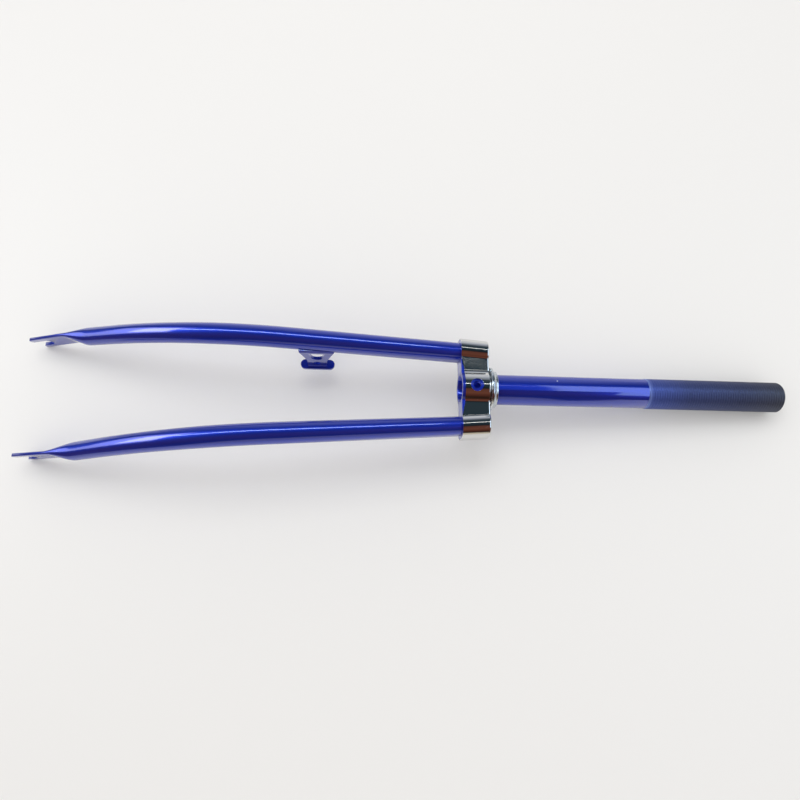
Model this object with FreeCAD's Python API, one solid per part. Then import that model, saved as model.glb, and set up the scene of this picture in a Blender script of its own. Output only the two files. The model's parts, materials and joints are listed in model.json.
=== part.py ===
"""Raked steel bicycle fork with a threaded one inch steerer, a pressed crown cover and a dynamo bracket.

The fork is drawn along its steerer axis and then laid down as it comes to rest: rear side up, on the
tips of its two fork ends and the threaded end of the steerer. Sizes are in millimetres.
"""
import FreeCAD, Part
import math
import os

from FreeCAD import Base, Vector

# Steerer tube, measured from the seat of the bearing race towards the threaded end
STEERER_LENGTH = 252.2
STEERER_DIAMETER = 24.8
THREAD_DIAMETER = 25.4
THREAD_LENGTH = 119.2
STEM_BORE = 22.2
END_CHAMFER = 1.2

# Forged crown
CROWN_DEPTH = 23.2
CROWN_WALL = 1.8
CROWN_BOSS_RADIUS = 14.2
CROWN_NECK_HALF = 8.8
RACE_SEAT_WALL = 0.7
BRAZE_GAP = 0.1

# Pressed cover over the crown
COVER_WALL = 0.9
COVER_GAP = 0.1
COVER_DEPTH = 21.0
COVER_SKIRT = 2.2
COVER_LEAN = 1.8
COVER_TOP_BEVEL = 1.2
COVER_NECK_ROUND = 5.0
COVER_BRAKE_HOLE = 10.6

# Brake bolt
BRAKE_HOLE = 6.2
BRAKE_HOLE_DROP = 11.6

# Lower bearing race
RACE_FLANGE_DIAMETER = 36.6
RACE_FLANGE_HEIGHT = 2.2
RACE_TOP_DIAMETER = 30.0
RACE_HEIGHT = 5.8
RACE_TRACK_RADIUS = 3.4
RACE_TRACK_TURNS = 2
RACE_LIP = 0.9
RACE_PRESS_GAP = 0.02

# Fork blades, measured along the blade from the level of the race seat; they spread below the crown
BLADE_SPREAD = 62.5
BLADE_SET_FORWARD = 0.85
BLADE_CROWN_WIDTH = 15.2
BLADE_CROWN_DEPTH = 20.6
BLADE_DIAMETER = 17.9
BLADE_TIP_DIAMETER = 15.7
BLADE_WALL = 1.5
BLADE_TAPER_START = 229.0
BLADE_SOCKET_CAP = 2.4
BEND_START = 165.5
BEND_RADIUS = 357.0
BEND_ANGLE = 25.15

# Fork ends, pressed flat from the blade tube
HUB_WIDTH = 100.0
END_THICKNESS = 3.1
END_WIDTH = 20.0
END_START = 369.0
END_LENGTH = 36.0
PRESS_LENGTH = 26.0
AXLE_SLOT = 9.2
AXLE_SLOT_DEPTH = 18.0
PRONG_TIP_RADIUS = 3.1
FRONT_PRONG_SET_BACK = 2.3

# Dynamo bracket on the inner side of the left blade: an upright web on an oval foot
BRACKET_PLACE = 141.3
BRACKET_THICKNESS = 2.8
BRACKET_STAND_OUT = 1.8
BRACKET_ROOT_WIDTH = 29.4
BRACKET_WAIST_WIDTH = 16.7
BRACKET_WAIST_DROP = 22.0
BRACKET_FLARE = 0.46
BRACKET_WINDOW_TOP = 13.4
BRACKET_WINDOW_FOOT = 8.3
BRACKET_WINDOW_DROP = 19.3
BRACKET_WINDOW_SAG = 2.4
BRACKET_HOLE = 6.5
BRACKET_HOLE_DROP = 27.9
BRACKET_FOOT_DROP = 35.7
BRACKET_FOOT_LENGTH = 29.3
BRACKET_FOOT_WIDTH = 8.5
BRACKET_FOOT_THICKNESS = 3.0
BRACKET_FOOT_FILLET = 1.2

# Fineness of a blade's outside and of its hollow: steps round the bend and through the press
BEND_STEPS = 7
PRESS_STEPS = 6
HOLLOW_BEND_STEPS = 4
HOLLOW_PRESS_STEPS = 2
HOLLOW_PRESS_SHARE = 0.4
LEAST_FLANK = 0.1
LEAST_HOLLOW = 0.1

# How far a cutting form runs past the face it cuts, and how near two places count as one
CUT_MARGIN = 1.0
SAME_PLACE = 1e-6

bend_angle = math.radians(BEND_ANGLE)
bend_end = BEND_START + BEND_RADIUS * bend_angle
press_start = END_START - PRESS_LENGTH
end_offset = HUB_WIDTH / 2 + END_THICKNESS / 2
splay = (end_offset - BLADE_SPREAD / 2) / (END_START - CROWN_DEPTH)
race_seat_radius = STEERER_DIAMETER / 2 + BRAZE_GAP + RACE_SEAT_WALL
cover_inset = COVER_WALL + COVER_GAP
blade_top = cover_inset + BLADE_SOCKET_CAP
prong_half = (END_WIDTH - AXLE_SLOT) / 4
prong_offset = (END_WIDTH + AXLE_SLOT) / 4
prong_centre = END_START + END_LENGTH - PRONG_TIP_RADIUS


def side_point(s):
    """Place of the blade's centre line in side view at the length s, and its slope there."""
    if s <= BEND_START:
        return -s, -BLADE_SET_FORWARD, 0.0
    turn = min((s - BEND_START) / BEND_RADIUS, bend_angle)
    run = max(s - bend_end, 0.0)
    x = -BEND_START - BEND_RADIUS * math.sin(turn) - run * math.cos(turn)
    z = -BLADE_SET_FORWARD - BEND_RADIUS * (1 - math.cos(turn)) - run * math.sin(turn)
    return x, z, turn


def station(s, side):
    """Origin, direction, outward and forward axes of a blade section at the length s."""
    x, z, turn = side_point(s)
    across = BLADE_SPREAD / 2 + splay * max(min(s, END_START) - CROWN_DEPTH, 0.0)
    along = Vector(-math.cos(turn), 0, -math.sin(turn))
    forward = Vector(math.sin(turn), 0, -math.cos(turn))
    outward = Vector(0, side, 0)
    return Vector(x, side * across, z), along, outward, forward


def mix(a, b, t):
    """Even change from a to b as t goes up to 1."""
    return a + (b - a) * t


def blade_size(s):
    """Half width and half depth of the blade's section at the length s."""
    oval = min(max((s - CROWN_DEPTH) / (BEND_START - CROWN_DEPTH), 0.0), 1.0)
    taper = max((s - BLADE_TAPER_START) / (press_start - BLADE_TAPER_START), 0.0)
    round_half = mix(BLADE_DIAMETER, BLADE_TIP_DIAMETER, min(taper, 1.0)) / 2
    half_width = mix(BLADE_CROWN_WIDTH / 2, round_half, oval)
    half_depth = mix(BLADE_CROWN_DEPTH / 2, round_half, oval)
    press = min(max((s - press_start) / PRESS_LENGTH, 0.0), 1.0)
    press = press * press * (3 - 2 * press)
    half_width = mix(half_width, END_THICKNESS / 2, press)
    half_depth = mix(half_depth, END_WIDTH / 2, press)
    return half_width, half_depth


def oval_wire(origin, across, deep, half_width, half_depth):
    """Closed outline of two straight flanks and two half circles round the origin."""
    flank = deep * max(half_depth - half_width, LEAST_FLANK)
    crest = flank + deep * half_width
    side = across * half_width
    return Part.Wire([
        Part.LineSegment(origin + side - flank, origin + side + flank).toShape(),
        Part.Arc(origin + side + flank, origin + crest, origin - side + flank).toShape(),
        Part.LineSegment(origin - side + flank, origin - side - flank).toShape(),
        Part.Arc(origin - side - flank, origin - crest, origin + side - flank).toShape(),
    ])


def section(s, side, inset):
    """Outline of the blade at the length s, drawn in by the inset."""
    origin, along, outward, forward = station(s, side)
    half_width, half_depth = blade_size(s)
    half_width = max(half_width - inset, LEAST_HOLLOW)
    return oval_wire(origin, outward, forward, half_width, half_depth - inset)


def steps(start, stop, count):
    """Evenly spaced lengths after the start, up to the stop."""
    return [mix(start, stop, i / count) for i in range(1, count + 1)]


def blade_outside(side):
    """Solid that follows the blade: straight and oval, round the bend, tapered, then pressed flat."""
    places = [blade_top, CROWN_DEPTH, BEND_START]
    places += steps(BEND_START, bend_end, BEND_STEPS)
    places.append(press_start)
    places += steps(press_start, END_START, PRESS_STEPS)
    return Part.makeLoft([section(s, side, 0.0) for s in places], True, True)


def blade_hollow(side):
    """Bore of the blade, open at the top and closed by the press."""
    places = [blade_top - CUT_MARGIN, CROWN_DEPTH, BEND_START]
    places += steps(BEND_START, bend_end, HOLLOW_BEND_STEPS)
    places.append(press_start)
    places += steps(press_start, mix(press_start, END_START, HOLLOW_PRESS_SHARE), HOLLOW_PRESS_STEPS)
    return Part.makeLoft([section(s, side, BLADE_WALL) for s in places], True, True)


def prism(points, direction):
    """Solid with a polygon as its base."""
    return Part.Face(Part.makePolygon(points + points[:1])).extrude(direction)


def fork_end(side):
    """Flat slotted end: the pressed section run out to two rounded prongs with the axle slot between."""
    origin, along, outward, forward = station(END_START, side)
    half_width, half_depth = blade_size(END_START)
    plate = Part.Face(oval_wire(origin, outward, forward, half_width, half_depth))
    plate = plate.extrude(along * END_LENGTH)
    through = outward * (2 * END_THICKNESS)
    inner = origin - outward * END_THICKNESS

    def block(a0, a1, f0, f1):
        corners = [(a0, f0), (a1, f0), (a1, f1), (a0, f1)]
        return prism([inner + along * a + forward * f for a, f in corners], through)

    def disc(a, f, radius):
        return Part.makeCylinder(radius, 2 * END_THICKNESS, inner + along * a + forward * f, outward)

    past_end = END_LENGTH + CUT_MARGIN
    root = END_LENGTH - AXLE_SLOT_DEPTH + AXLE_SLOT / 2
    plate = plate.cut(disc(root, 0, AXLE_SLOT / 2))
    plate = plate.cut(block(root, past_end, -AXLE_SLOT / 2, AXLE_SLOT / 2))
    for f, set_back in ((-prong_offset, 0.0), (prong_offset, FRONT_PRONG_SET_BACK)):
        tip_start = prong_centre - END_START - set_back
        waste = block(tip_start, past_end, f - prong_half - CUT_MARGIN, f + prong_half + CUT_MARGIN)
        plate = plate.cut(waste.cut(disc(tip_start, f, PRONG_TIP_RADIUS)))
    return plate


def blade(side):
    """One fork blade: a drawn tube whose lower end is pressed flat and slotted."""
    return blade_outside(side).fuse(fork_end(side)).cut(blade_hollow(side))


def shoulder(side, inset, low):
    """Oval shoulder of the crown round one blade: a bar that leans in towards the race, level at both ends."""
    origin, along, outward, forward = station(CROWN_DEPTH / 2, side)
    half_width, half_depth = blade_size(0.0)
    grow = CROWN_WALL + cover_inset - inset
    lean = math.atan(COVER_LEAN / CROWN_DEPTH)
    up = Vector(math.cos(lean), -side * math.sin(lean), 0)
    across = up.cross(forward)
    outline = oval_wire(origin - up * CROWN_DEPTH, across, forward, half_width + grow, half_depth + grow)
    bar = Part.Face(outline).extrude(up * (2 * CROWN_DEPTH))
    corner = Vector(low, -BLADE_SPREAD, -BLADE_SPREAD / 2)
    slab = Part.makeBox(-inset - low, 2 * BLADE_SPREAD, BLADE_SPREAD, corner)
    return bar.common(slab)


def bevel_top(shape, level, size):
    """Bevels every edge that lies at a level along the steerer axis."""
    chosen = [e for e in shape.Edges if all(abs(v.Point.x - level) < SAME_PLACE for v in e.Vertexes)]
    return shape.makeChamfer(size, chosen)


def crown_form(inset, low, skirt=0.0, soften=False):
    """Outer form of the crown and its cover, drawn in by the inset: a boss, two necks and two shoulders.

    Softened, its creases are rounded and its top edges bevelled, as a pressing's are.
    """
    top = -inset
    boss_radius = CROWN_BOSS_RADIUS + cover_inset - inset
    neck_half = CROWN_NECK_HALF + cover_inset - inset
    boss = round_bar(boss_radius, low, top)
    reach = BLADE_SPREAD / 2
    neck = Part.makeBox(top - low, 2 * reach, 2 * neck_half, Vector(low, -reach, -neck_half))
    form = boss.fuse(neck).removeSplitter()
    shoulders = [shoulder(side, inset, low - skirt) for side in (1, -1)]
    if soften:
        crease = math.sqrt(boss_radius ** 2 - neck_half ** 2)
        for y in (-crease, crease):
            for z in (-neck_half, neck_half):
                form = round_edges(form, COVER_NECK_ROUND, Vector(1, 0, 0), Vector(0, y, z))
        form = bevel_top(form, top, COVER_TOP_BEVEL)
        shoulders = [bevel_top(bar, top, COVER_TOP_BEVEL) for bar in shoulders]
    return form.fuse(shoulders).removeSplitter()


def round_bar(radius, start, stop):
    """Cylinder on the steerer axis between two levels."""
    return Part.makeCylinder(radius, stop - start, Vector(start, 0, 0), Vector(1, 0, 0))


def cross_bar(diameter):
    """Cylinder through the crown from front to rear at the level of the brake bolt."""
    reach = CROWN_BOSS_RADIUS + cover_inset + CUT_MARGIN
    start = Vector(-BRAKE_HOLE_DROP, 0, -reach)
    return Part.makeCylinder(diameter / 2, 2 * reach, start, Vector(0, 0, 1))


def crown_cover():
    """Pressed cover: a thin shell that hugs the crown, open below, clamped under the bearing race."""
    outside = crown_form(0.0, -COVER_DEPTH, COVER_SKIRT, True)
    shell = outside.cut(crown_form(COVER_WALL, -COVER_DEPTH - COVER_SKIRT - CUT_MARGIN))
    shell = shell.cut(round_bar(race_seat_radius + BRAZE_GAP, -CROWN_DEPTH, RACE_HEIGHT))
    return shell.cut(cross_bar(COVER_BRAKE_HOLE))


def crown():
    """Forged crown with two blade sockets, the steerer socket, the race seat and the brake bolt hole."""
    seat_top = RACE_HEIGHT - RACE_LIP
    form = crown_form(cover_inset, -CROWN_DEPTH)
    form = form.fuse(round_bar(race_seat_radius, -CROWN_DEPTH / 2, seat_top))
    socket = round_bar(STEERER_DIAMETER / 2 + BRAZE_GAP, -CROWN_DEPTH - CUT_MARGIN, seat_top + CUT_MARGIN)
    form = form.cut(socket)
    for side in (1, -1):
        form = form.cut(blade_socket(side))
    return form.cut(cross_bar(BRAKE_HOLE))


def blade_socket(side):
    """Space in the crown that takes the top of a blade, with the brazing gap round it."""
    origin, along, outward, forward = station(blade_top - BRAZE_GAP, side)
    half_width, half_depth = blade_size(blade_top)
    outline = oval_wire(origin, outward, forward, half_width + BRAZE_GAP, half_depth + BRAZE_GAP)
    return Part.Face(outline).extrude(along * (CROWN_DEPTH - blade_top + BRAZE_GAP + CUT_MARGIN))


def steerer():
    """Steerer tube: plain below, thread size at the top, bored for a stem, open at both ends."""
    thread_start = STEERER_LENGTH - THREAD_LENGTH
    tube = round_bar(STEERER_DIAMETER / 2, -CROWN_DEPTH, thread_start)
    thread = round_bar(THREAD_DIAMETER / 2, thread_start, STEERER_LENGTH)
    thread = bevel_top(thread, STEERER_LENGTH, END_CHAMFER)
    bore = round_bar(STEM_BORE / 2, -CROWN_DEPTH - CUT_MARGIN, STEERER_LENGTH + CUT_MARGIN)
    return tube.fuse(thread).cut(bore).cut(cross_bar(BRAKE_HOLE))


def race():
    """Pressed-on bearing race: a flange, a hollow ball track and a top lip, turned in one piece."""
    bore = race_seat_radius + RACE_PRESS_GAP
    flange = RACE_FLANGE_DIAMETER / 2
    top = RACE_TOP_DIAMETER / 2
    track_low = Vector(RACE_FLANGE_HEIGHT, flange, 0)
    track_high = Vector(RACE_HEIGHT - RACE_LIP, top, 0)
    chord = track_high - track_low
    sag = RACE_TRACK_RADIUS - math.sqrt(RACE_TRACK_RADIUS ** 2 - (chord.Length / 2) ** 2)
    inward = Vector(chord.y, -chord.x, 0).normalize()
    track_mid = (track_low + track_high) * 0.5 + inward * sag
    track = Part.Arc(track_low, track_mid, track_high).discretize(RACE_TRACK_TURNS + 1)
    profile = [Vector(0, bore, 0), Vector(0, flange, 0)] + track
    profile += [Vector(RACE_HEIGHT, top, 0), Vector(RACE_HEIGHT, bore, 0)]
    face = Part.Face(Part.makePolygon(profile + profile[:1]))
    return face.revolve(Vector(0, 0, 0), Vector(1, 0, 0), 360)


def bracket(blade_form):
    """Dynamo bracket: a waisted web with a window and a bolt hole, on an oval foot, welded to the blade."""
    origin, along, outward, forward = station(BRACKET_PLACE, 1)
    flank = blade_size(BRACKET_PLACE)[0]
    inner = -flank - BRACKET_STAND_OUT
    outer = inner + BRACKET_THICKNESS
    middle = (inner + outer) / 2

    def place(a, f, o=inner):
        return origin + along * a + forward * f + outward * o

    def line(start, end):
        return Part.LineSegment(place(*start), place(*end)).toShape()

    def arc(start, through, end):
        return Part.Arc(place(*start), place(*through), place(*end)).toShape()

    root = BRACKET_ROOT_WIDTH / 2
    waist = BRACKET_WAIST_WIDTH / 2
    hollow = (mix(waist, root, BRACKET_FLARE), BRACKET_WAIST_DROP / 2)
    foot_end = (waist, BRACKET_FOOT_DROP + BRACKET_FOOT_THICKNESS / 2)
    right = [(root, 0), (waist, BRACKET_WAIST_DROP), foot_end]
    left = [(-a, f) for a, f in right]
    web = Part.Face(Part.Wire([
        arc(right[0], hollow, right[1]),
        line(right[1], right[2]),
        line(right[2], left[2]),
        line(left[2], left[1]),
        arc(left[1], (-hollow[0], hollow[1]), left[0]),
        line(left[0], right[0]),
    ])).extrude(outward * BRACKET_THICKNESS)

    end_radius = BRACKET_FOOT_WIDTH / 2
    straight = BRACKET_FOOT_LENGTH / 2 - end_radius
    near = middle - end_radius
    far = middle + end_radius
    corners = [(a, BRACKET_FOOT_DROP, o) for a, o in ((straight, near), (straight, far), (-straight, far))]
    corners.append((-straight, BRACKET_FOOT_DROP, near))
    ends = [(a, BRACKET_FOOT_DROP, middle) for a in (straight + end_radius, -straight - end_radius)]
    foot = Part.Face(Part.Wire([
        arc(corners[0], ends[0], corners[1]),
        line(corners[1], corners[2]),
        arc(corners[2], ends[1], corners[3]),
        line(corners[3], corners[0]),
    ])).extrude(forward * BRACKET_FOOT_THICKNESS)
    shape = web.fuse(foot).removeSplitter()
    for o in (inner, outer):
        shape = round_edges(shape, BRACKET_FOOT_FILLET, along, place(0, BRACKET_FOOT_DROP, o))

    top = BRACKET_WINDOW_TOP / 2
    sill = BRACKET_WINDOW_FOOT / 2
    sill_drop = BRACKET_WINDOW_DROP - BRACKET_WINDOW_SAG
    window = Part.Face(Part.Wire([
        line((-top, flank / 2), (top, flank / 2)),
        line((top, flank / 2), (sill, sill_drop)),
        arc((sill, sill_drop), (0, BRACKET_WINDOW_DROP), (-sill, sill_drop)),
        line((-sill, sill_drop), (-top, flank / 2)),
    ])).extrude(outward * BRACKET_THICKNESS)
    hole = Part.makeCylinder(BRACKET_HOLE / 2, BRACKET_THICKNESS, place(0, BRACKET_HOLE_DROP), outward)
    return shape.cut(window).cut(hole).cut(blade_form)


def round_edges(shape, radius, direction, through):
    """Fillets the straight edges that run along the direction through a point."""
    chosen = []
    for edge in shape.Edges:
        start = edge.Vertexes[0].Point
        parallel = edge.tangentAt(edge.FirstParameter).cross(direction).Length < SAME_PLACE
        if parallel and (start - through).cross(direction).Length < SAME_PLACE:
            chosen.append(edge)
    return shape.makeFillet(radius, chosen)


def lay_down():
    """Placement that turns the fork to its rest on a flat surface, centred over the origin."""
    origin, along, outward, forward = station(prong_centre, 1)
    front_reach = math.sqrt(PRONG_TIP_RADIUS ** 2 - prong_half ** 2) - FRONT_PRONG_SET_BACK
    prong = origin + forward * (prong_offset + prong_half) + along * front_reach
    heel = Vector(STEERER_LENGTH - END_CHAMFER, 0, -THREAD_DIAMETER / 2)
    pitch = math.atan2(heel.z - prong.z, heel.x - prong.x)
    turn = Base.Rotation(Vector(0, 1, 0), math.degrees(pitch))
    rear_tip = turn.multVec(origin - forward * prong_offset).x - PRONG_TIP_RADIUS
    steerer_end = turn.multVec(Vector(STEERER_LENGTH, 0, THREAD_DIAMETER / 2 - END_CHAMFER)).x
    return Base.Placement(Vector(-(rear_tip + steerer_end) / 2, 0, -turn.multVec(heel).z), turn)


def main():
    os.makedirs("parts", exist_ok=True)
    rest = lay_down()
    nodes = {
        "steerer_tube": steerer(),
        "fork_crown": crown(),
        "crown_cover": crown_cover(),
        "bearing_race": race(),
        "left_blade": blade(1),
        "right_blade": blade(-1),
        "dynamo_bracket": bracket(blade_outside(1)),
    }
    for name, shape in nodes.items():
        shape.Placement = rest.multiply(shape.Placement)
        shape.exportStep("parts/" + name + ".step")


main()
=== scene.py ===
"""Looks of a blue steel bicycle fork lying rear side up on a pale table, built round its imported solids.

Pieces are shaped in millimetres along the fork's own axes, +X up the steerer from the seat of the bearing
race, +Y to the left and +Z to the rear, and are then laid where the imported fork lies.
"""
import json
import math

import bmesh
import bpy
from mathutils import Matrix, Vector


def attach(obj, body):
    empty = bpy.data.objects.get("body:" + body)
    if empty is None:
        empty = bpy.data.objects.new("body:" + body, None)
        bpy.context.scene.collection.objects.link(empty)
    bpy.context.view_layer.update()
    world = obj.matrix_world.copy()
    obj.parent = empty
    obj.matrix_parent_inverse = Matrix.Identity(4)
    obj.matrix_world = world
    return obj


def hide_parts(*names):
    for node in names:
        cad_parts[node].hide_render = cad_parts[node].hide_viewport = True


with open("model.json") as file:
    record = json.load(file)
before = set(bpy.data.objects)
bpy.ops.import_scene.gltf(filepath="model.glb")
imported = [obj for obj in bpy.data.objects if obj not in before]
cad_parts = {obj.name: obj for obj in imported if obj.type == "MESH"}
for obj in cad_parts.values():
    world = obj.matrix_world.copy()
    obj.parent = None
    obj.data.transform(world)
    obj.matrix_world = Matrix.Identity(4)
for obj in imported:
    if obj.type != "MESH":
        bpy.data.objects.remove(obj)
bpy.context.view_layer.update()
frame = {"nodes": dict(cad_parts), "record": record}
mounts = {mount["name"]: mount for mount in frame["record"]["mounts"]}

MM = 0.001
SAME_PLACE = 0.002

# Steerer, from the seat of the race, and its thread: 24 turns to the inch are too fine to show at the size
# of the photograph, so the thread is drawn twice as coarse
STEERER_LENGTH = 252.2
THREAD_LENGTH = 119.2
THREAD_RADIUS = 12.7
THREAD_PITCH = 2 * 25.4 / 24
THREAD_DEPTH = 0.6
TUBE_RADIUS = 12.4
BORE_RADIUS = 11.1
BORE_PAINT_END = 15.0
END_CHAMFER = 1.2
EDGE_ROUND = 0.4
PAINT_EDGE = STEERER_LENGTH - THREAD_LENGTH
# Two small marks in the paint of the steerer: place, radius and colour
PAINT_MARKS = [((55.7, 5.95, 10.9), 0.65, "#b9c2e6"), ((103.7, -12.25, 2.0), 0.8, "#060a24")]

# Crown and brake bolt
CROWN_DEPTH = 23.2
BRAKE_HOLE_DROP = 11.6
BRAKE_HOLE_RADIUS = 3.1
CROWN_ROUND = 0.5

# Pressed cover: a boss round the steerer, two necks and two oval shoulders
COVER_DEPTH = 21.0
COVER_SKIRT = 2.2
COVER_LEAN = 1.8
COVER_WALL = 0.9
COVER_BOSS = 15.2
COVER_NECK = 9.8
COVER_SHOULDER = 10.4
COVER_FLANK = 2.7
BOSS_HOLLOW = 5.0
SHOULDER_HOLLOW = 3.0
COVER_EDGE = 1.6
COVER_RIM_ROUND = 0.25
COVER_SEAT_HOLE = 13.3
COVER_BOLT_HOLE = 5.3

# Lower bearing race
RACE_BORE = 13.22
RACE_FLANGE = 18.3
RACE_FLANGE_HEIGHT = 2.2
RACE_TOP = 15.0
RACE_HEIGHT = 5.8
RACE_LIP = 0.9
RACE_TRACK = 3.4
RACE_EDGE = 0.5

# Blades, by length from the level of the race seat
BLADE_SPREAD = 62.5
BLADE_FORWARD = 0.85
CROWN_HALF_WIDTH = 7.6
CROWN_HALF_DEPTH = 10.3
ROUND_RADIUS = 8.93
TIP_RADIUS = 7.83
BLADE_TOP = 3.4
TAPER_START = 229.0
BEND_START = 165.5
BEND_RADIUS = 357.0
BEND_ANGLE = math.radians(25.15)
BEND_END = BEND_START + BEND_RADIUS * BEND_ANGLE
PRESS_START = 343.0
END_START = 369.0
END_LENGTH = 36.0
END_HALF_THICKNESS = 1.55
END_HALF_WIDTH = 10.0
HUB_HALF = 50.0
AXLE_SLOT = 9.2
AXLE_SLOT_DEPTH = 18.0
PRONG_TIP_RADIUS = 3.1
FRONT_PRONG_SET_BACK = 2.3
FORK_END_ROUND = 0.25
CUT_PAST = 2.0
CUT_HALF_WIDTH = 4.0
# Spacing of a blade's rings where it is straight, where it bends or tapers, and through the press
STRAIGHT_STEP = 20
BEND_STEP = 6
PRESS_STEP = 1.6

# Dynamo bracket: the slope of its web's top edge, and the least length that tells this edge from others
WEB_TOP_SLOPE = 1.5
WEB_TOP_LENGTH = 25.0
BRACKET_ROUND = 0.35

# Corners sharper than this, in degrees, are rounded by paint, and a face looks along an axis when at least
# this part of its normal does
CORNER_ANGLE = 35
FACING = 0.9

# The photograph's camera: place in metres, turn in degrees, focal length in the photograph's pixels
CAMERA_PLACE = (0.00687, -0.13872, 0.54513)
CAMERA_TURN = (14.364, 0.544, 0.182)
FOCAL_PIXELS = 636.5
PHOTO_WIDTH = 800

# Fork axes in the frame: the steerer's axis and the middle of its thread say where the race seat is
steerer_axis = Vector(mounts["steerer_thread"]["axis"]).normalized()
thread_middle = Vector(mounts["steerer_thread"]["pos_m"])
seat = thread_middle - steerer_axis * (STEERER_LENGTH - THREAD_LENGTH / 2) * MM
rear_axis = steerer_axis.cross(Vector((0, 1, 0)))
LAY = Matrix((steerer_axis, (0, 1, 0), rear_axis)).transposed().to_4x4()
LAY.translation = seat
LAY = LAY @ Matrix.Scale(MM, 4)


def linear(code):
    """Linear colour of an sRGB hex code."""
    parts = [int(code[i:i + 2], 16) / 255 for i in (1, 3, 5)]
    return [c / 12.92 if c <= 0.04045 else ((c + 0.055) / 1.055) ** 2.4 for c in parts] + [1.0]


def add_node(tree, kind, settings=(), links=()):
    """Adds a node, sets its properties and sockets, and links sockets from other nodes."""
    node = tree.nodes.new(kind)
    for name, value in dict(settings).items():
        if name in node.inputs:
            node.inputs[name].default_value = value
        else:
            setattr(node, name, value)
    for name, source in dict(links).items():
        tree.links.new(source, node.inputs[name])
    return node


def new_material(name):
    """A material, its node tree and its shader."""
    material = bpy.data.materials.new(name)
    material.use_nodes = True
    return material, material.node_tree, material.node_tree.nodes["Principled BSDF"]


def set_ramp(node, stops):
    """Places and colours along a colour ramp."""
    ramp = node.color_ramp
    while len(ramp.elements) < len(stops):
        ramp.elements.new(0.5)
    for element, (place, code) in zip(ramp.elements, stops):
        element.position = place
        element.color = linear(code)


def length_up_steerer(tree):
    """Length up the steerer axis from the race seat, in metres."""
    place = add_node(tree, "ShaderNodeTexCoord")
    from_seat = add_node(tree, "ShaderNodeVectorMath", {"operation": "SUBTRACT"})
    tree.links.new(place.outputs["Object"], from_seat.inputs[0])
    from_seat.inputs[1].default_value = seat
    along = add_node(tree, "ShaderNodeVectorMath", {"operation": "DOT_PRODUCT"})
    tree.links.new(from_seat.outputs["Vector"], along.inputs[0])
    along.inputs[1].default_value = steerer_axis
    return along.outputs["Value"]


def blue_enamel():
    """Gloss metallic enamel on steel: deep blue flakes under a clear coat that mirrors lamps sharply."""
    material, tree, shader = new_material("metallic_blue_enamel")
    place = add_node(tree, "ShaderNodeTexCoord")
    flakes = add_node(tree, "ShaderNodeTexNoise", {"Scale": 1 / (0.4 * MM), "Detail": 2.0},
                      {"Vector": place.outputs["Object"]})
    tint = add_node(tree, "ShaderNodeValToRGB", links={"Fac": flakes.outputs["Fac"]})
    set_ramp(tint, [(0.3, "#06239c"), (0.7, "#0c33b8")])
    colour = tint.outputs["Color"]
    for middle, radius, code in PAINT_MARKS:
        away = add_node(tree, "ShaderNodeVectorMath", {"operation": "DISTANCE"})
        tree.links.new(place.outputs["Object"], away.inputs[0])
        away.inputs[1].default_value = LAY @ Vector(middle)
        inside = add_node(tree, "ShaderNodeMath", {"operation": "LESS_THAN"})
        tree.links.new(away.outputs["Value"], inside.inputs[0])
        inside.inputs[1].default_value = radius * MM
        mark = add_node(tree, "ShaderNodeMixRGB", {"Color2": linear(code)},
                        {"Fac": inside.outputs["Value"], "Color1": colour})
        colour = mark.outputs["Color"]
    tree.links.new(colour, shader.inputs["Base Color"])
    peel = add_node(tree, "ShaderNodeTexNoise", {"Scale": 1 / (3 * MM), "Detail": 1.0},
                    {"Vector": place.outputs["Object"]})
    waves = add_node(tree, "ShaderNodeBump", {"Strength": 0.03, "Distance": 0.2 * MM},
                     {"Height": peel.outputs["Fac"]})
    tree.links.new(waves.outputs["Normal"], shader.inputs["Coat Normal"])
    shader.inputs["Metallic"].default_value = 0.7
    shader.inputs["Roughness"].default_value = 0.36
    shader.inputs["Coat Weight"].default_value = 1.0
    shader.inputs["Coat Roughness"].default_value = 0.07
    shader.inputs["Coat IOR"].default_value = 1.7
    return material


def oversprayed_thread_with_rim_highlight():
    """Cut steel thread, dark with oil, with blue paint mist that thins out away from the enamel's edge, and a
    pale band at that edge that is a painted highlight of the enamel's rim.
    """
    material, tree, shader = new_material("oiled_steel_thread")
    along = add_node(tree, "ShaderNodeMapRange",
                     {"From Min": PAINT_EDGE * MM, "From Max": STEERER_LENGTH * MM},
                     {"Value": length_up_steerer(tree)})
    mist_and_rim_highlight = add_node(tree, "ShaderNodeValToRGB", links={"Fac": along.outputs["Result"]})
    # The first two stops make a pale band at the paint edge, a painted highlight of the enamel's rim; after
    # them, blue paint mist fades along the thread.
    set_ramp(mist_and_rim_highlight, [(0.0, "#6d80c4"), (0.016, "#6275bc"), (0.03, "#41539e"), (0.3, "#3a4678"),
                    (0.7, "#3b4364"), (1.0, "#454957")])
    tree.links.new(mist_and_rim_highlight.outputs["Color"], shader.inputs["Base Color"])
    shader.inputs["Metallic"].default_value = 0.5
    shader.inputs["Roughness"].default_value = 0.42
    return material


def drawn_steel():
    """Bare drawn steel inside the steerer: dull grey under an oil film, a little cloudy."""
    material, tree, shader = new_material("drawn_steel_bore")
    place = add_node(tree, "ShaderNodeTexCoord")
    film = add_node(tree, "ShaderNodeTexNoise", {"Scale": 1 / (5 * MM), "Detail": 3.0},
                    {"Vector": place.outputs["Object"]})
    tint = add_node(tree, "ShaderNodeValToRGB", links={"Fac": film.outputs["Fac"]})
    set_ramp(tint, [(0.35, "#55565a"), (0.7, "#7a7b7e")])
    tree.links.new(tint.outputs["Color"], shader.inputs["Base Color"])
    shader.inputs["Metallic"].default_value = 1.0
    shader.inputs["Roughness"].default_value = 0.45
    return material


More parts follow.
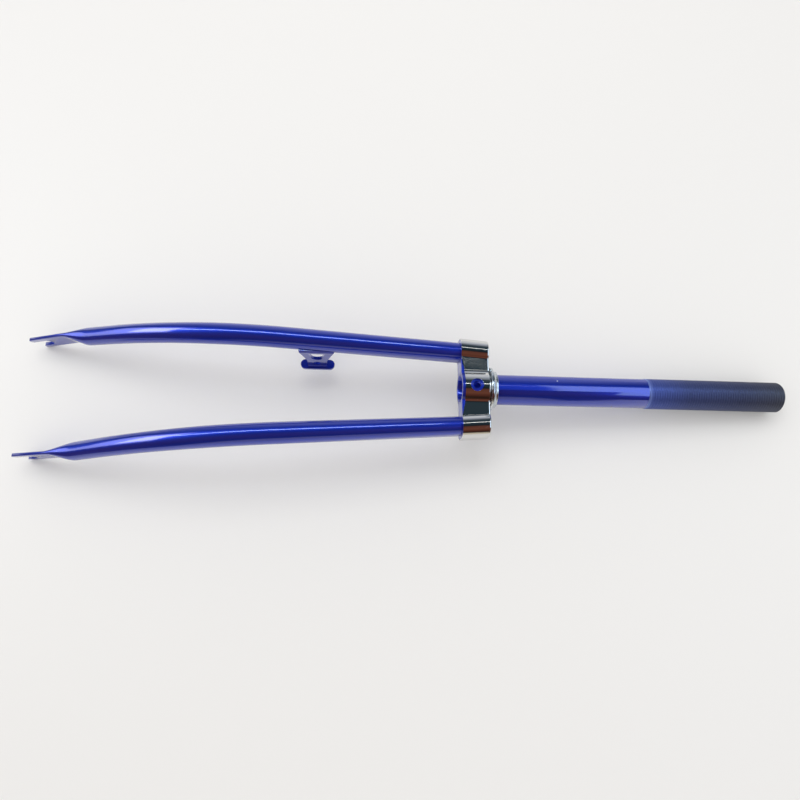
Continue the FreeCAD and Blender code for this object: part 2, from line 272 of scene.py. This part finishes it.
def chrome_plate():
    """Polished chrome plate on a pressing: a bright mirror with faint waves of the sheet below."""
    material, tree, shader = new_material("polished_chrome_plate")
    place = add_node(tree, "ShaderNodeTexCoord")
    waves = add_node(tree, "ShaderNodeTexNoise", {"Scale": 1 / (7 * MM), "Detail": 2.0},
                     {"Vector": place.outputs["Object"]})
    bump = add_node(tree, "ShaderNodeBump", {"Strength": 0.08, "Distance": 0.5 * MM},
                    {"Height": waves.outputs["Fac"]})
    tree.links.new(bump.outputs["Normal"], shader.inputs["Normal"])
    shader.inputs["Base Color"].default_value = linear("#dededc")
    shader.inputs["Metallic"].default_value = 1.0
    shader.inputs["Roughness"].default_value = 0.05
    return material


def zinc_plate():
    """Bright zinc plate on a turned ring: pale grey metal, a little cloudy."""
    material, tree, shader = new_material("bright_zinc_plate")
    place = add_node(tree, "ShaderNodeTexCoord")
    clouds = add_node(tree, "ShaderNodeTexNoise", {"Scale": 1 / (3 * MM), "Detail": 4.0},
                      {"Vector": place.outputs["Object"]})
    tint = add_node(tree, "ShaderNodeValToRGB", links={"Fac": clouds.outputs["Fac"]})
    set_ramp(tint, [(0.35, "#b9c1c4"), (0.7, "#dadee0")])
    tree.links.new(tint.outputs["Color"], shader.inputs["Base Color"])
    shader.inputs["Metallic"].default_value = 1.0
    shader.inputs["Roughness"].default_value = 0.2
    return material


def deselect():
    """Leaves edit mode and clears the selection."""
    if bpy.context.object and bpy.context.object.mode != "OBJECT":
        bpy.ops.object.mode_set(mode="OBJECT")
    bpy.ops.object.select_all(action="DESELECT")


def take(piece):
    """Makes one piece the selected and active object."""
    deselect()
    piece.select_set(True)
    bpy.context.view_layer.objects.active = piece


def edit(piece):
    """Opens one piece in edit mode with all of it selected."""
    take(piece)
    bpy.ops.object.mode_set(mode="EDIT")
    bpy.ops.mesh.select_all(action="SELECT")


def select_parts(piece, kind, test):
    """Selects the points, edges or faces of a piece in edit mode that pass a test."""
    bpy.ops.mesh.select_mode(type=kind)
    bpy.ops.mesh.select_all(action="DESELECT")
    mesh = bmesh.from_edit_mesh(piece.data)
    parts = {"VERT": mesh.verts, "EDGE": mesh.edges, "FACE": mesh.faces}
    for part in parts[kind]:
        part.select = test(part)
    mesh.select_flush_mode()
    bmesh.update_edit_mesh(piece.data)


def apply_modifiers(piece):
    """Applies each modifier of a piece in order."""
    take(piece)
    for modifier in list(piece.modifiers):
        bpy.ops.object.modifier_apply(modifier=modifier.name)


def close_mesh(piece, smooth_angle=35):
    """Merges doubles, turns the faces outwards and shades them smooth up to an angle."""
    edit(piece)
    bpy.ops.mesh.remove_doubles(threshold=SAME_PLACE)
    bpy.ops.mesh.normals_make_consistent(inside=False)
    bpy.ops.object.mode_set(mode="OBJECT")
    bpy.ops.object.shade_smooth_by_angle(angle=math.radians(smooth_angle))


def soften_edges(piece, width, segments, angle):
    """Rounds the edges of a piece that are sharper than an angle in degrees."""
    soft = piece.modifiers.new("soft_edges", "BEVEL")
    soft.width = width
    soft.segments = segments
    soft.limit_method = "ANGLE"
    soft.angle_limit = math.radians(angle)
    apply_modifiers(piece)


def keep_sides_straight(piece):
    """Shades large faces straight up to their edges, so that only the roundings bend a reflection."""
    sides = piece.modifiers.new("straight_sides", "WEIGHTED_NORMAL")
    sides.weight = 100
    sides.keep_sharp = True
    apply_modifiers(piece)


def stand_for(piece, name, node, slot, *materials):
    """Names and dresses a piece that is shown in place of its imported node."""
    piece.name = name
    piece.data.name = name
    piece.data.materials.clear()
    for material in materials:
        piece.data.materials.append(material)
    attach(piece, "root")
    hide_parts(node)


def lay_down(piece):
    """Lays a piece shaped along the fork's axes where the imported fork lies."""
    take(piece)
    piece.matrix_world = LAY
    bpy.ops.object.transform_apply(location=True, rotation=True, scale=True)


def block(low, high):
    """A box between two corners."""
    deselect()
    bpy.ops.mesh.primitive_cube_add(size=1, location=[(a + b) / 2 for a, b in zip(low, high)])
    box = bpy.context.object
    box.scale = [b - a for a, b in zip(low, high)]
    bpy.ops.object.transform_apply(location=True, rotation=True, scale=True)
    return box


def rod(radius, start, end, sides=64):
    """A round bar between two points."""
    deselect()
    start, end = Vector(start), Vector(end)
    turn = (end - start).to_track_quat("Z", "Y").to_euler()
    bpy.ops.mesh.primitive_cylinder_add(vertices=sides, radius=radius, depth=(end - start).length,
                                        location=(start + end) / 2, rotation=turn)
    bpy.ops.object.transform_apply(location=True, rotation=True, scale=True)
    return bpy.context.object


def combine(piece, other, operation="DIFFERENCE"):
    """Cuts a piece with another shape, or joins the two, and removes the other shape."""
    boolean = piece.modifiers.new("cut", "BOOLEAN")
    boolean.operation = operation
    boolean.solver = "EXACT"
    boolean.use_hole_tolerant = True
    boolean.object = other
    apply_modifiers(piece)
    edit(piece)
    bpy.ops.mesh.remove_doubles(threshold=SAME_PLACE)
    bpy.ops.object.mode_set(mode="OBJECT")
    bpy.data.objects.remove(other, do_unlink=True)


def spaced(start, stop, step):
    """Lengths after the start up to the stop, about a step apart."""
    count = max(1, round((stop - start) / step))
    return [start + (stop - start) * i / count for i in range(1, count + 1)]


def arc(centre, radius, start, stop, count):
    """Points round an arc between two angles in degrees, both ends included."""
    angles = [math.radians(start + (stop - start) * i / count) for i in range(count + 1)]
    return [(centre[0] + radius * math.cos(a), centre[1] + radius * math.sin(a)) for a in angles]


def draw_line(points):
    """An edge line through points, drawn point by point in edit mode and left open there."""
    deselect()
    bpy.ops.mesh.primitive_plane_add(size=1, location=(0, 0, 0))
    bpy.ops.object.mode_set(mode="EDIT")
    bpy.ops.mesh.merge(type="CENTER")
    bpy.ops.transform.translate(value=points[0])
    for here, there in zip(points, points[1:]):
        bpy.ops.mesh.extrude_vertices_move(TRANSFORM_OT_translate={"value": Vector(there) - Vector(here)})
    return bpy.context.object


def turned(profile, steps=64):
    """A turned piece: an outline of lengths up the steerer and radii, spun round the steerer axis."""
    piece = draw_line([(x, 0, radius) for x, radius in profile])
    bpy.ops.mesh.select_all(action="SELECT")
    bpy.ops.mesh.spin(steps=steps, angle=2 * math.pi, center=(0, 0, 0), axis=(1, 0, 0))
    bpy.ops.mesh.select_all(action="SELECT")
    bpy.ops.mesh.remove_doubles(threshold=SAME_PLACE)
    bpy.ops.object.mode_set(mode="OBJECT")
    return piece


def side_point(s):
    """Place and slope of a blade's centre line in side view at the length s."""
    turn = min(max(s - BEND_START, 0.0) / BEND_RADIUS, BEND_ANGLE)
    run = max(s - BEND_END, 0.0)
    x = -min(s, BEND_START) - BEND_RADIUS * math.sin(turn) - run * math.cos(turn)
    z = -BLADE_FORWARD - BEND_RADIUS * (1 - math.cos(turn)) - run * math.sin(turn)
    return x, z, turn


def blade_centre(s):
    """Centre of the left blade's section at the length s, and its slope."""
    x, z, turn = side_point(s)
    reach = max(min(s, END_START) - CROWN_DEPTH, 0.0) / (END_START - CROWN_DEPTH)
    y = BLADE_SPREAD / 2 + reach * (HUB_HALF + END_HALF_THICKNESS - BLADE_SPREAD / 2)
    return Vector((x, y, z)), turn


def blade_section(s):
    """Half width of the blade's section at the length s, and half the length of its straight flank."""
    oval = min(max((s - CROWN_DEPTH) / (BEND_START - CROWN_DEPTH), 0.0), 1.0)
    taper = min(max((s - TAPER_START) / (PRESS_START - TAPER_START), 0.0), 1.0)
    tube = ROUND_RADIUS + (TIP_RADIUS - ROUND_RADIUS) * taper
    half_width = CROWN_HALF_WIDTH + (tube - CROWN_HALF_WIDTH) * oval
    half_depth = CROWN_HALF_DEPTH + (tube - CROWN_HALF_DEPTH) * oval
    press = min(max((s - PRESS_START) / (END_START - PRESS_START), 0.0), 1.0)
    press = press * press * (3 - 2 * press)
    half_width += (END_HALF_THICKNESS - half_width) * press
    half_depth += (END_HALF_WIDTH - half_depth) * press
    return half_width, half_depth - half_width


def spread_ring(tube, centre, turn, amount):
    """Moves the two halves of the selected ring apart along the blade's depth and selects it again."""
    forward = Vector((math.sin(turn), 0, -math.cos(turn)))
    mesh = bmesh.from_edit_mesh(tube.data)
    ring = [point for point in mesh.verts if point.select]
    for point in ring:
        front = (point.co - centre).dot(forward) > 0
        point.co += forward * (amount if front else -amount)
    bmesh.update_edit_mesh(tube.data)


def blade_tube(points_round=56):
    """The left blade as an extruded ring: oval, round the bend, tapered, pressed flat, run out to the tip."""
    centre, turn = blade_centre(BLADE_TOP)
    half_width, flank = blade_section(BLADE_TOP)
    deselect()
    bpy.ops.mesh.primitive_circle_add(vertices=points_round, radius=half_width, fill_type="NGON",
                                      location=(0, 0, 0), rotation=(0, -math.pi / 2, 0))
    tube = bpy.context.object
    bpy.ops.object.transform_apply(location=False, rotation=True, scale=False)
    edit(tube)
    bpy.ops.transform.rotate(value=math.pi / points_round, orient_axis="X", center_override=(0, 0, 0))
    bpy.ops.transform.translate(value=centre)
    spread_ring(tube, centre, turn, flank)
    places = spaced(BLADE_TOP, BEND_START, STRAIGHT_STEP) + spaced(BEND_START, BEND_END, BEND_STEP)
    places += spaced(BEND_END, PRESS_START, BEND_STEP) + spaced(PRESS_START, END_START, PRESS_STEP)
    places.append(END_START + END_LENGTH)
    for s in places:
        new_centre, new_turn = blade_centre(s)
        new_width, new_flank = blade_section(s)
        growth = new_width / half_width
        bpy.ops.mesh.extrude_region_move(TRANSFORM_OT_translate={"value": new_centre - centre})
        bpy.ops.transform.rotate(value=new_turn - turn, orient_axis="Y", center_override=new_centre)
        bpy.ops.transform.resize(value=(growth, growth, growth), center_override=new_centre)
        spread_ring(tube, new_centre, new_turn, new_flank - flank * growth)
        centre, turn, half_width, flank = new_centre, new_turn, new_width, new_flank
    bpy.ops.object.mode_set(mode="OBJECT")
    return tube


def fork_end_cutters():
    """The axle slot and the waste round the two prong tips, turned to the end of the left blade."""
    inner, outer = -3 * END_HALF_THICKNESS, 3 * END_HALF_THICKNESS
    root = -(END_LENGTH - AXLE_SLOT_DEPTH + AXLE_SLOT / 2)
    past_end = -END_LENGTH - CUT_PAST
    slot = rod(AXLE_SLOT / 2, (root, inner, 0), (root, outer, 0))
    combine(slot, block((past_end, inner, -AXLE_SLOT / 2), (root, outer, AXLE_SLOT / 2)), "UNION")
    cutters = [slot]
    for rear, set_back in ((-1, FRONT_PRONG_SET_BACK), (1, 0)):
        tip = -END_LENGTH + PRONG_TIP_RADIUS + set_back
        middle = rear * (END_HALF_WIDTH + AXLE_SLOT / 2) / 2
        waste = block((past_end, inner, middle - CUT_HALF_WIDTH), (tip, outer, middle + CUT_HALF_WIDTH))
        combine(waste, rod(PRONG_TIP_RADIUS, (tip, 2 * inner, middle), (tip, 2 * outer, middle)))
        cutters.append(waste)
    centre, turn = blade_centre(END_START)
    for cutter in cutters:
        cutter.data.transform(Matrix.Translation(centre) @ Matrix.Rotation(-turn, 4, "Y"))
    return cutters


def blades(paint):
    """Both blades: the left one shaped, slotted and softened at its edges, the right one its mirror image."""
    left = blade_tube()
    close_mesh(left)
    for cutter in fork_end_cutters():
        combine(left, cutter)
    soften_edges(left, FORK_END_ROUND, 2, 60)
    close_mesh(left)
    take(left)
    bpy.ops.object.duplicate()
    right = bpy.context.object
    right.scale = (1, -1, 1)
    bpy.ops.object.transform_apply(location=False, rotation=False, scale=True)
    close_mesh(right)
    for piece, side in ((left, "left"), (right, "right")):
        lay_down(piece)
        stand_for(piece, side + "_blade_enamelled", side + "_blade", "blue_paint", paint)


def thread_turns(steps=96):
    """The steerer's thread: one tooth screwed up the tube, run out at the paint edge and the end chamfer."""
    root = THREAD_RADIUS - THREAD_DEPTH
    tooth = [(0, root), (0.12, root), (0.46, THREAD_RADIUS), (0.58, THREAD_RADIUS), (1, root)]
    start = PAINT_EDGE - THREAD_PITCH
    thread = draw_line([(start + share * THREAD_PITCH, 0, radius) for share, radius in tooth])
    bpy.ops.object.mode_set(mode="OBJECT")
    screw = thread.modifiers.new("turns", "SCREW")
    screw.axis = "X"
    screw.screw_offset = THREAD_PITCH
    screw.iterations = math.ceil(THREAD_LENGTH / THREAD_PITCH) + 1
    screw.steps = steps
    screw.render_steps = steps
    apply_modifiers(thread)
    chamfer_start = STEERER_LENGTH - END_CHAMFER
    for point in thread.data.vertices:
        x = min(max(point.co.x, PAINT_EDGE), STEERER_LENGTH)
        radius = math.hypot(point.co.y, point.co.z)
        wanted = min(radius, THREAD_RADIUS - max(x - chamfer_start, 0.0))
        if x == PAINT_EDGE:
            wanted = TUBE_RADIUS
        point.co = (x, point.co.y * wanted / radius, point.co.z * wanted / radius)
    return thread


def steerer(paint, thread_finish, bore_finish):
    """Steerer tube with its bore, brake bolt hole and thread."""
    low = -CROWN_DEPTH
    rim = THREAD_RADIUS - END_CHAMFER
    tube = turned([
        (PAINT_EDGE, TUBE_RADIUS), (low + EDGE_ROUND, TUBE_RADIUS), (low, TUBE_RADIUS - EDGE_ROUND),
        (low, BORE_RADIUS + EDGE_ROUND), (low + EDGE_ROUND, BORE_RADIUS), (BORE_PAINT_END, BORE_RADIUS),
        (STEERER_LENGTH - (rim - BORE_RADIUS), BORE_RADIUS), (STEERER_LENGTH, rim),
    ], 96)
    thread = thread_turns()
    deselect()
    thread.select_set(True)
    tube.select_set(True)
    bpy.context.view_layer.objects.active = tube
    bpy.ops.object.join()
    close_mesh(tube, 50)
    reach = 2 * TUBE_RADIUS
    combine(tube, rod(BRAKE_HOLE_RADIUS, (-BRAKE_HOLE_DROP, 0, -reach), (-BRAKE_HOLE_DROP, 0, reach)))
    close_mesh(tube, 50)
    stand_for(tube, "steerer_enamelled", "steerer_tube", "blue_paint", paint, thread_finish, bore_finish)
    for face in tube.data.polygons:
        in_bore = math.hypot(face.center.y, face.center.z) < BORE_RADIUS
        if in_bore and face.center.x > BORE_PAINT_END:
            face.material_index = 2
        else:
            face.material_index = int(face.center.x > PAINT_EDGE)
    lay_down(tube)


def race(zinc):
    """Bearing race: a flange with soft edges, a hollow ball track and a top lip, turned in one piece."""
    low_edge = (RACE_FLANGE_HEIGHT, RACE_FLANGE - RACE_EDGE)
    high_edge = (RACE_HEIGHT - RACE_LIP, RACE_TOP)
    middle = Vector(((low_edge[0] + high_edge[0]) / 2, (low_edge[1] + high_edge[1]) / 2))
    chord = Vector(high_edge) - Vector(low_edge)
    rise = math.sqrt(RACE_TRACK ** 2 - (chord.length / 2) ** 2)
    hub = middle + Vector((-chord.y, chord.x)).normalized() * rise
    start = math.degrees(math.atan2(low_edge[1] - hub.y, low_edge[0] - hub.x))
    stop = math.degrees(math.atan2(high_edge[1] - hub.y, high_edge[0] - hub.x))
    profile = [(0, RACE_BORE)]
    profile += arc((RACE_EDGE, RACE_FLANGE - RACE_EDGE), RACE_EDGE, 180, 90, 4)
    profile += arc((RACE_FLANGE_HEIGHT - RACE_EDGE, RACE_FLANGE - RACE_EDGE), RACE_EDGE, 90, 0, 4)
    profile += arc(hub, RACE_TRACK, start, stop, 10)[1:]
    profile += arc((RACE_HEIGHT - RACE_EDGE, RACE_TOP - RACE_EDGE), RACE_EDGE, 90, 0, 4)
    profile += [(RACE_HEIGHT, RACE_BORE), (0, RACE_BORE)]
    ring = turned(profile, 96)
    close_mesh(ring, 40)
    lay_down(ring)
    stand_for(ring, "race_zinc_plated", "bearing_race", "zinc", zinc)


def cover_quarter(rear):
    """A quarter of the cover's outline, from the middle of the boss to the outside of the left shoulder."""
    shoulder = Vector((BLADE_SPREAD / 2, COVER_FLANK - rear * BLADE_FORWARD))
    boss_hub_z = COVER_NECK + BOSS_HOLLOW
    boss_hub_y = math.sqrt((COVER_BOSS + BOSS_HOLLOW) ** 2 - boss_hub_z ** 2)
    boss_turn = math.degrees(math.atan2(boss_hub_z, boss_hub_y))
    side_hub_z = COVER_NECK + SHOULDER_HOLLOW
    side_reach = math.sqrt((COVER_SHOULDER + SHOULDER_HOLLOW) ** 2 - (side_hub_z - shoulder.y) ** 2)
    side_hub_y = shoulder.x - side_reach
    side_turn = math.degrees(math.atan2(side_hub_z - shoulder.y, side_hub_y - shoulder.x))
    points = arc((0, 0), COVER_BOSS, 90, boss_turn, 10)
    points += arc((boss_hub_y, boss_hub_z), BOSS_HOLLOW, boss_turn - 180, -90, 6)[1:]
    points += arc((side_hub_y, side_hub_z), SHOULDER_HOLLOW, -90, side_turn - 180, 6)
    points += arc(shoulder, COVER_SHOULDER, side_turn, 0, 24)[1:]
    return [(y, rear * z) for y, z in points]


def cover_outline():
    """The whole outline of the cover, seen along the steerer."""
    back, front = cover_quarter(1), cover_quarter(-1)
    left = back + front[::-1]
    right = [(-y, z) for y, z in left[-2:0:-1]]
    return left + right


def cover(chrome):
    """Pressed cover: the outline raised, its shoulders lifted and edges rounded, then hollowed to sheet."""
    outline = [(-COVER_DEPTH, y, z) for y, z in cover_outline()]
    shell = draw_line(outline)
    bpy.ops.mesh.select_all(action="SELECT")
    bpy.ops.mesh.edge_face_add()
    bpy.ops.mesh.extrude_region_move(TRANSFORM_OT_translate={"value": (COVER_DEPTH, 0, 0)})
    lean = COVER_LEAN / CROWN_DEPTH
    shoulder_start = BLADE_SPREAD / 2 - COVER_SHOULDER
    for side in (1, -1):
        for level in (-COVER_DEPTH, 0):
            select_parts(shell, "VERT", lambda point: abs(point.co.x - level) < SAME_PLACE
                         and side * point.co.y > shoulder_start)
            drop = COVER_SKIRT if level else 0
            bpy.ops.transform.translate(value=(-drop, -side * lean * (level - drop + CROWN_DEPTH / 2), 0))
    bpy.ops.mesh.select_all(action="SELECT")
    bpy.ops.mesh.normals_make_consistent(inside=False)
    select_parts(shell, "EDGE", lambda edge: sum(face.normal.x > 0.5 for face in edge.link_faces) == 1)
    bpy.ops.mesh.bevel(offset=COVER_EDGE, offset_type="OFFSET", segments=5, profile=0.5, affect="EDGES")
    select_parts(shell, "FACE", lambda face: face.normal.x < -0.5)
    bpy.ops.mesh.delete(type="FACE")
    bpy.ops.object.mode_set(mode="OBJECT")
    wall = shell.modifiers.new("sheet", "SOLIDIFY")
    wall.thickness = COVER_WALL
    wall.offset = -1
    wall.use_even_offset = True
    apply_modifiers(shell)
    combine(shell, rod(COVER_SEAT_HOLE, (-COVER_DEPTH, 0, 0), (RACE_HEIGHT, 0, 0), 96))
    reach = 2 * COVER_BOSS
    combine(shell, rod(COVER_BOLT_HOLE, (-BRAKE_HOLE_DROP, 0, -reach), (-BRAKE_HOLE_DROP, 0, reach), 48))
    soften_edges(shell, COVER_RIM_ROUND, 2, 50)
    close_mesh(shell, 40)
    lay_down(shell)
    keep_sides_straight(shell)
    stand_for(shell, "cover_chromed", "crown_cover", "chrome", chrome)


def merged_copy(node):
    """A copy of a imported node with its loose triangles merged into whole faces."""
    piece = frame["nodes"][node].copy()
    piece.data = piece.data.copy()
    bpy.context.scene.collection.objects.link(piece)
    edit(piece)
    bpy.ops.mesh.remove_doubles(threshold=SAME_PLACE * MM)
    bpy.ops.mesh.dissolve_limited(angle_limit=math.radians(1))
    bpy.ops.object.mode_set(mode="OBJECT")
    return piece


def paint_round(piece, width):
    """Rounds the corners of a merged copy as paint leaves them."""
    soften_edges(piece, width * MM, 3, CORNER_ANGLE)
    take(piece)
    bpy.ops.object.shade_smooth_by_angle(angle=math.radians(CORNER_ANGLE))
    keep_sides_straight(piece)


def crown(paint):
    """Forged crown with softened corners."""
    piece = merged_copy("fork_crown")
    paint_round(piece, CROWN_ROUND)
    stand_for(piece, "crown_enamelled", "fork_crown", "blue_paint", paint)


def is_web_top(edge):
    """Whether an edge is the long top edge on the inner side of the bracket's web."""
    faces_up = any(face.normal.z > FACING for face in edge.link_faces)
    faces_in = any(face.normal.y < -FACING for face in edge.link_faces)
    return faces_up and faces_in and edge.calc_length() > WEB_TOP_LENGTH * MM


def bracket(paint):
    """Dynamo bracket: the top edge of its web is sloped off against the blade, as a weld leaves it."""
    piece = merged_copy("dynamo_bracket")
    edit(piece)
    select_parts(piece, "EDGE", is_web_top)
    bpy.ops.mesh.bevel(offset=WEB_TOP_SLOPE * MM, offset_type="OFFSET", segments=1, affect="EDGES")
    bpy.ops.object.mode_set(mode="OBJECT")
    paint_round(piece, BRACKET_ROUND)
    stand_for(piece, "bracket_enamelled", "dynamo_bracket", "blue_paint", paint)


def reflected_only(sheet, name, code, strength=1.0):
    """Makes an object of the room a flat glow that only shows in paint and bright metal."""
    sheet.name = name
    sheet.visible_camera = False
    sheet.visible_diffuse = False
    sheet.visible_shadow = False
    material, tree, shader = new_material(name)
    shader.inputs["Base Color"].default_value = linear("#000000")
    shader.inputs["Specular IOR Level"].default_value = 0.0
    shader.inputs["Emission Color"].default_value = linear(code)
    shader.inputs["Emission Strength"].default_value = strength
    sheet.data.materials.append(material)
    return tree, shader


def card(name, place, aim, size, code, strength):
    """A glowing card above the table, turned to a point."""
    deselect()
    bpy.ops.mesh.primitive_plane_add(size=1, location=place)
    sheet = bpy.context.object
    sheet.scale = (size[0], size[1], 1)
    sheet.rotation_euler = (Vector(aim) - Vector(place)).to_track_quat("Z", "Y").to_euler()
    reflected_only(sheet, name, code, strength)


def room(radius=2.95):
    """The dim room: pale behind the fork, dark teal above, brown on the near side, cream low down there."""
    deselect()
    bpy.ops.mesh.primitive_uv_sphere_add(segments=48, ring_count=24, radius=radius)
    tree, shader = reflected_only(bpy.context.object, "dim_room", "#000000")
    place = add_node(tree, "ShaderNodeTexCoord")
    split = add_node(tree, "ShaderNodeSeparateXYZ", links={"Vector": place.outputs["Object"]})
    across = add_node(tree, "ShaderNodeMapRange", {"From Min": -radius, "From Max": radius},
                      {"Value": split.outputs["Y"]})
    walls = add_node(tree, "ShaderNodeValToRGB", links={"Fac": across.outputs["Result"]})
    set_ramp(walls, [
        (0.03, "#d8cdb8"), (0.06, "#2a1c16"), (0.12, "#542f25"), (0.22, "#6e4234"), (0.38, "#603a30"),
        (0.44, "#1b2226"), (0.60, "#2c3a42"), (0.84, "#3a464e"), (0.92, "#9aa0ae"), (0.97, "#d2d5dc"),
    ])
    tree.links.new(walls.outputs["Color"], shader.inputs["Emission Color"])


def lamp(name, place, size, power):
    """A large soft lamp over the table that paint and metal don't mirror."""
    light = bpy.data.lights.new(name, "AREA")
    light.shape = "RECTANGLE"
    light.size, light.size_y = size
    light.energy = power
    holder = bpy.data.objects.new(name, light)
    holder.location = place
    holder.rotation_euler = (-Vector(place)).to_track_quat("-Z", "Y").to_euler()
    holder.visible_glossy = False
    bpy.context.scene.collection.objects.link(holder)


def studio():
    """Pale table, soft light from above, reflections for the paint and the bright metal, the camera."""
    deselect()
    bpy.ops.mesh.primitive_plane_add(size=6, location=(0, 0, 0))
    table = bpy.context.object
    table.name = "table"
    material, tree, shader = new_material("white_table")
    shader.inputs["Base Color"].default_value = linear("#ecebe9")
    shader.inputs["Roughness"].default_value = 0.6
    table.data.materials.append(material)

    world = bpy.data.worlds.new("soft_room")
    bpy.context.scene.world = world
    world.use_nodes = True
    world.node_tree.nodes["Background"].inputs["Color"].default_value = linear("#fcfbfa")
    world.node_tree.nodes["Background"].inputs["Strength"].default_value = 0.92
    lamp("soft_lamp", (-0.2, 0.95, 1.7), (1.4, 1.0), 8)

    # What paint and bright metal mirror: place, point it faces, size, colour and strength
    room()
    card("long_lamp", (-0.70, 0.64, 1.75), (-0.70, 0, 0), (2.3, 0.16), "#cfe6ff", 11)
    card("thin_lamp", (0.65, 0.65, 1.75), (0.65, 0, 0), (0.4, 0.035), "#ffffff", 5)
    card("window", (-1.45, 0.40, 1.00), (0, 0, 0), (1.4, 0.9), "#f2f5ff", 2.4)
    card("bright_pane", (-1.30, 0.36, 1.10), (0, 0, 0), (0.8, 0.40), "#ffffff", 7)
    card("right_lamp", (1.50, 0.0, 1.75), (0.2, 0, 0), (2.4, 1.1), "#cfe4ff", 2.5)
    card("pale_wall", (1.1, 0.1, 0.35), (0.1, 0, 0), (1.2, 0.6), "#d6dedd", 1.0)

    camera = bpy.data.cameras.new("photo_camera")
    camera.sensor_width = 36
    camera.lens = camera.sensor_width * FOCAL_PIXELS / PHOTO_WIDTH
    camera.clip_start = 0.01
    viewer = bpy.data.objects.new("photo_camera", camera)
    viewer.location = CAMERA_PLACE
    viewer.rotation_euler = [math.radians(angle) for angle in CAMERA_TURN]
    bpy.context.scene.collection.objects.link(viewer)
    bpy.context.scene.camera = viewer
    bpy.context.scene.view_settings.view_transform = "Standard"


paint = blue_enamel()
blades(paint)
steerer(paint, oversprayed_thread_with_rim_highlight(), drawn_steel())
race(zinc_plate())
cover(chrome_plate())
crown(paint)
bracket(paint)
studio()
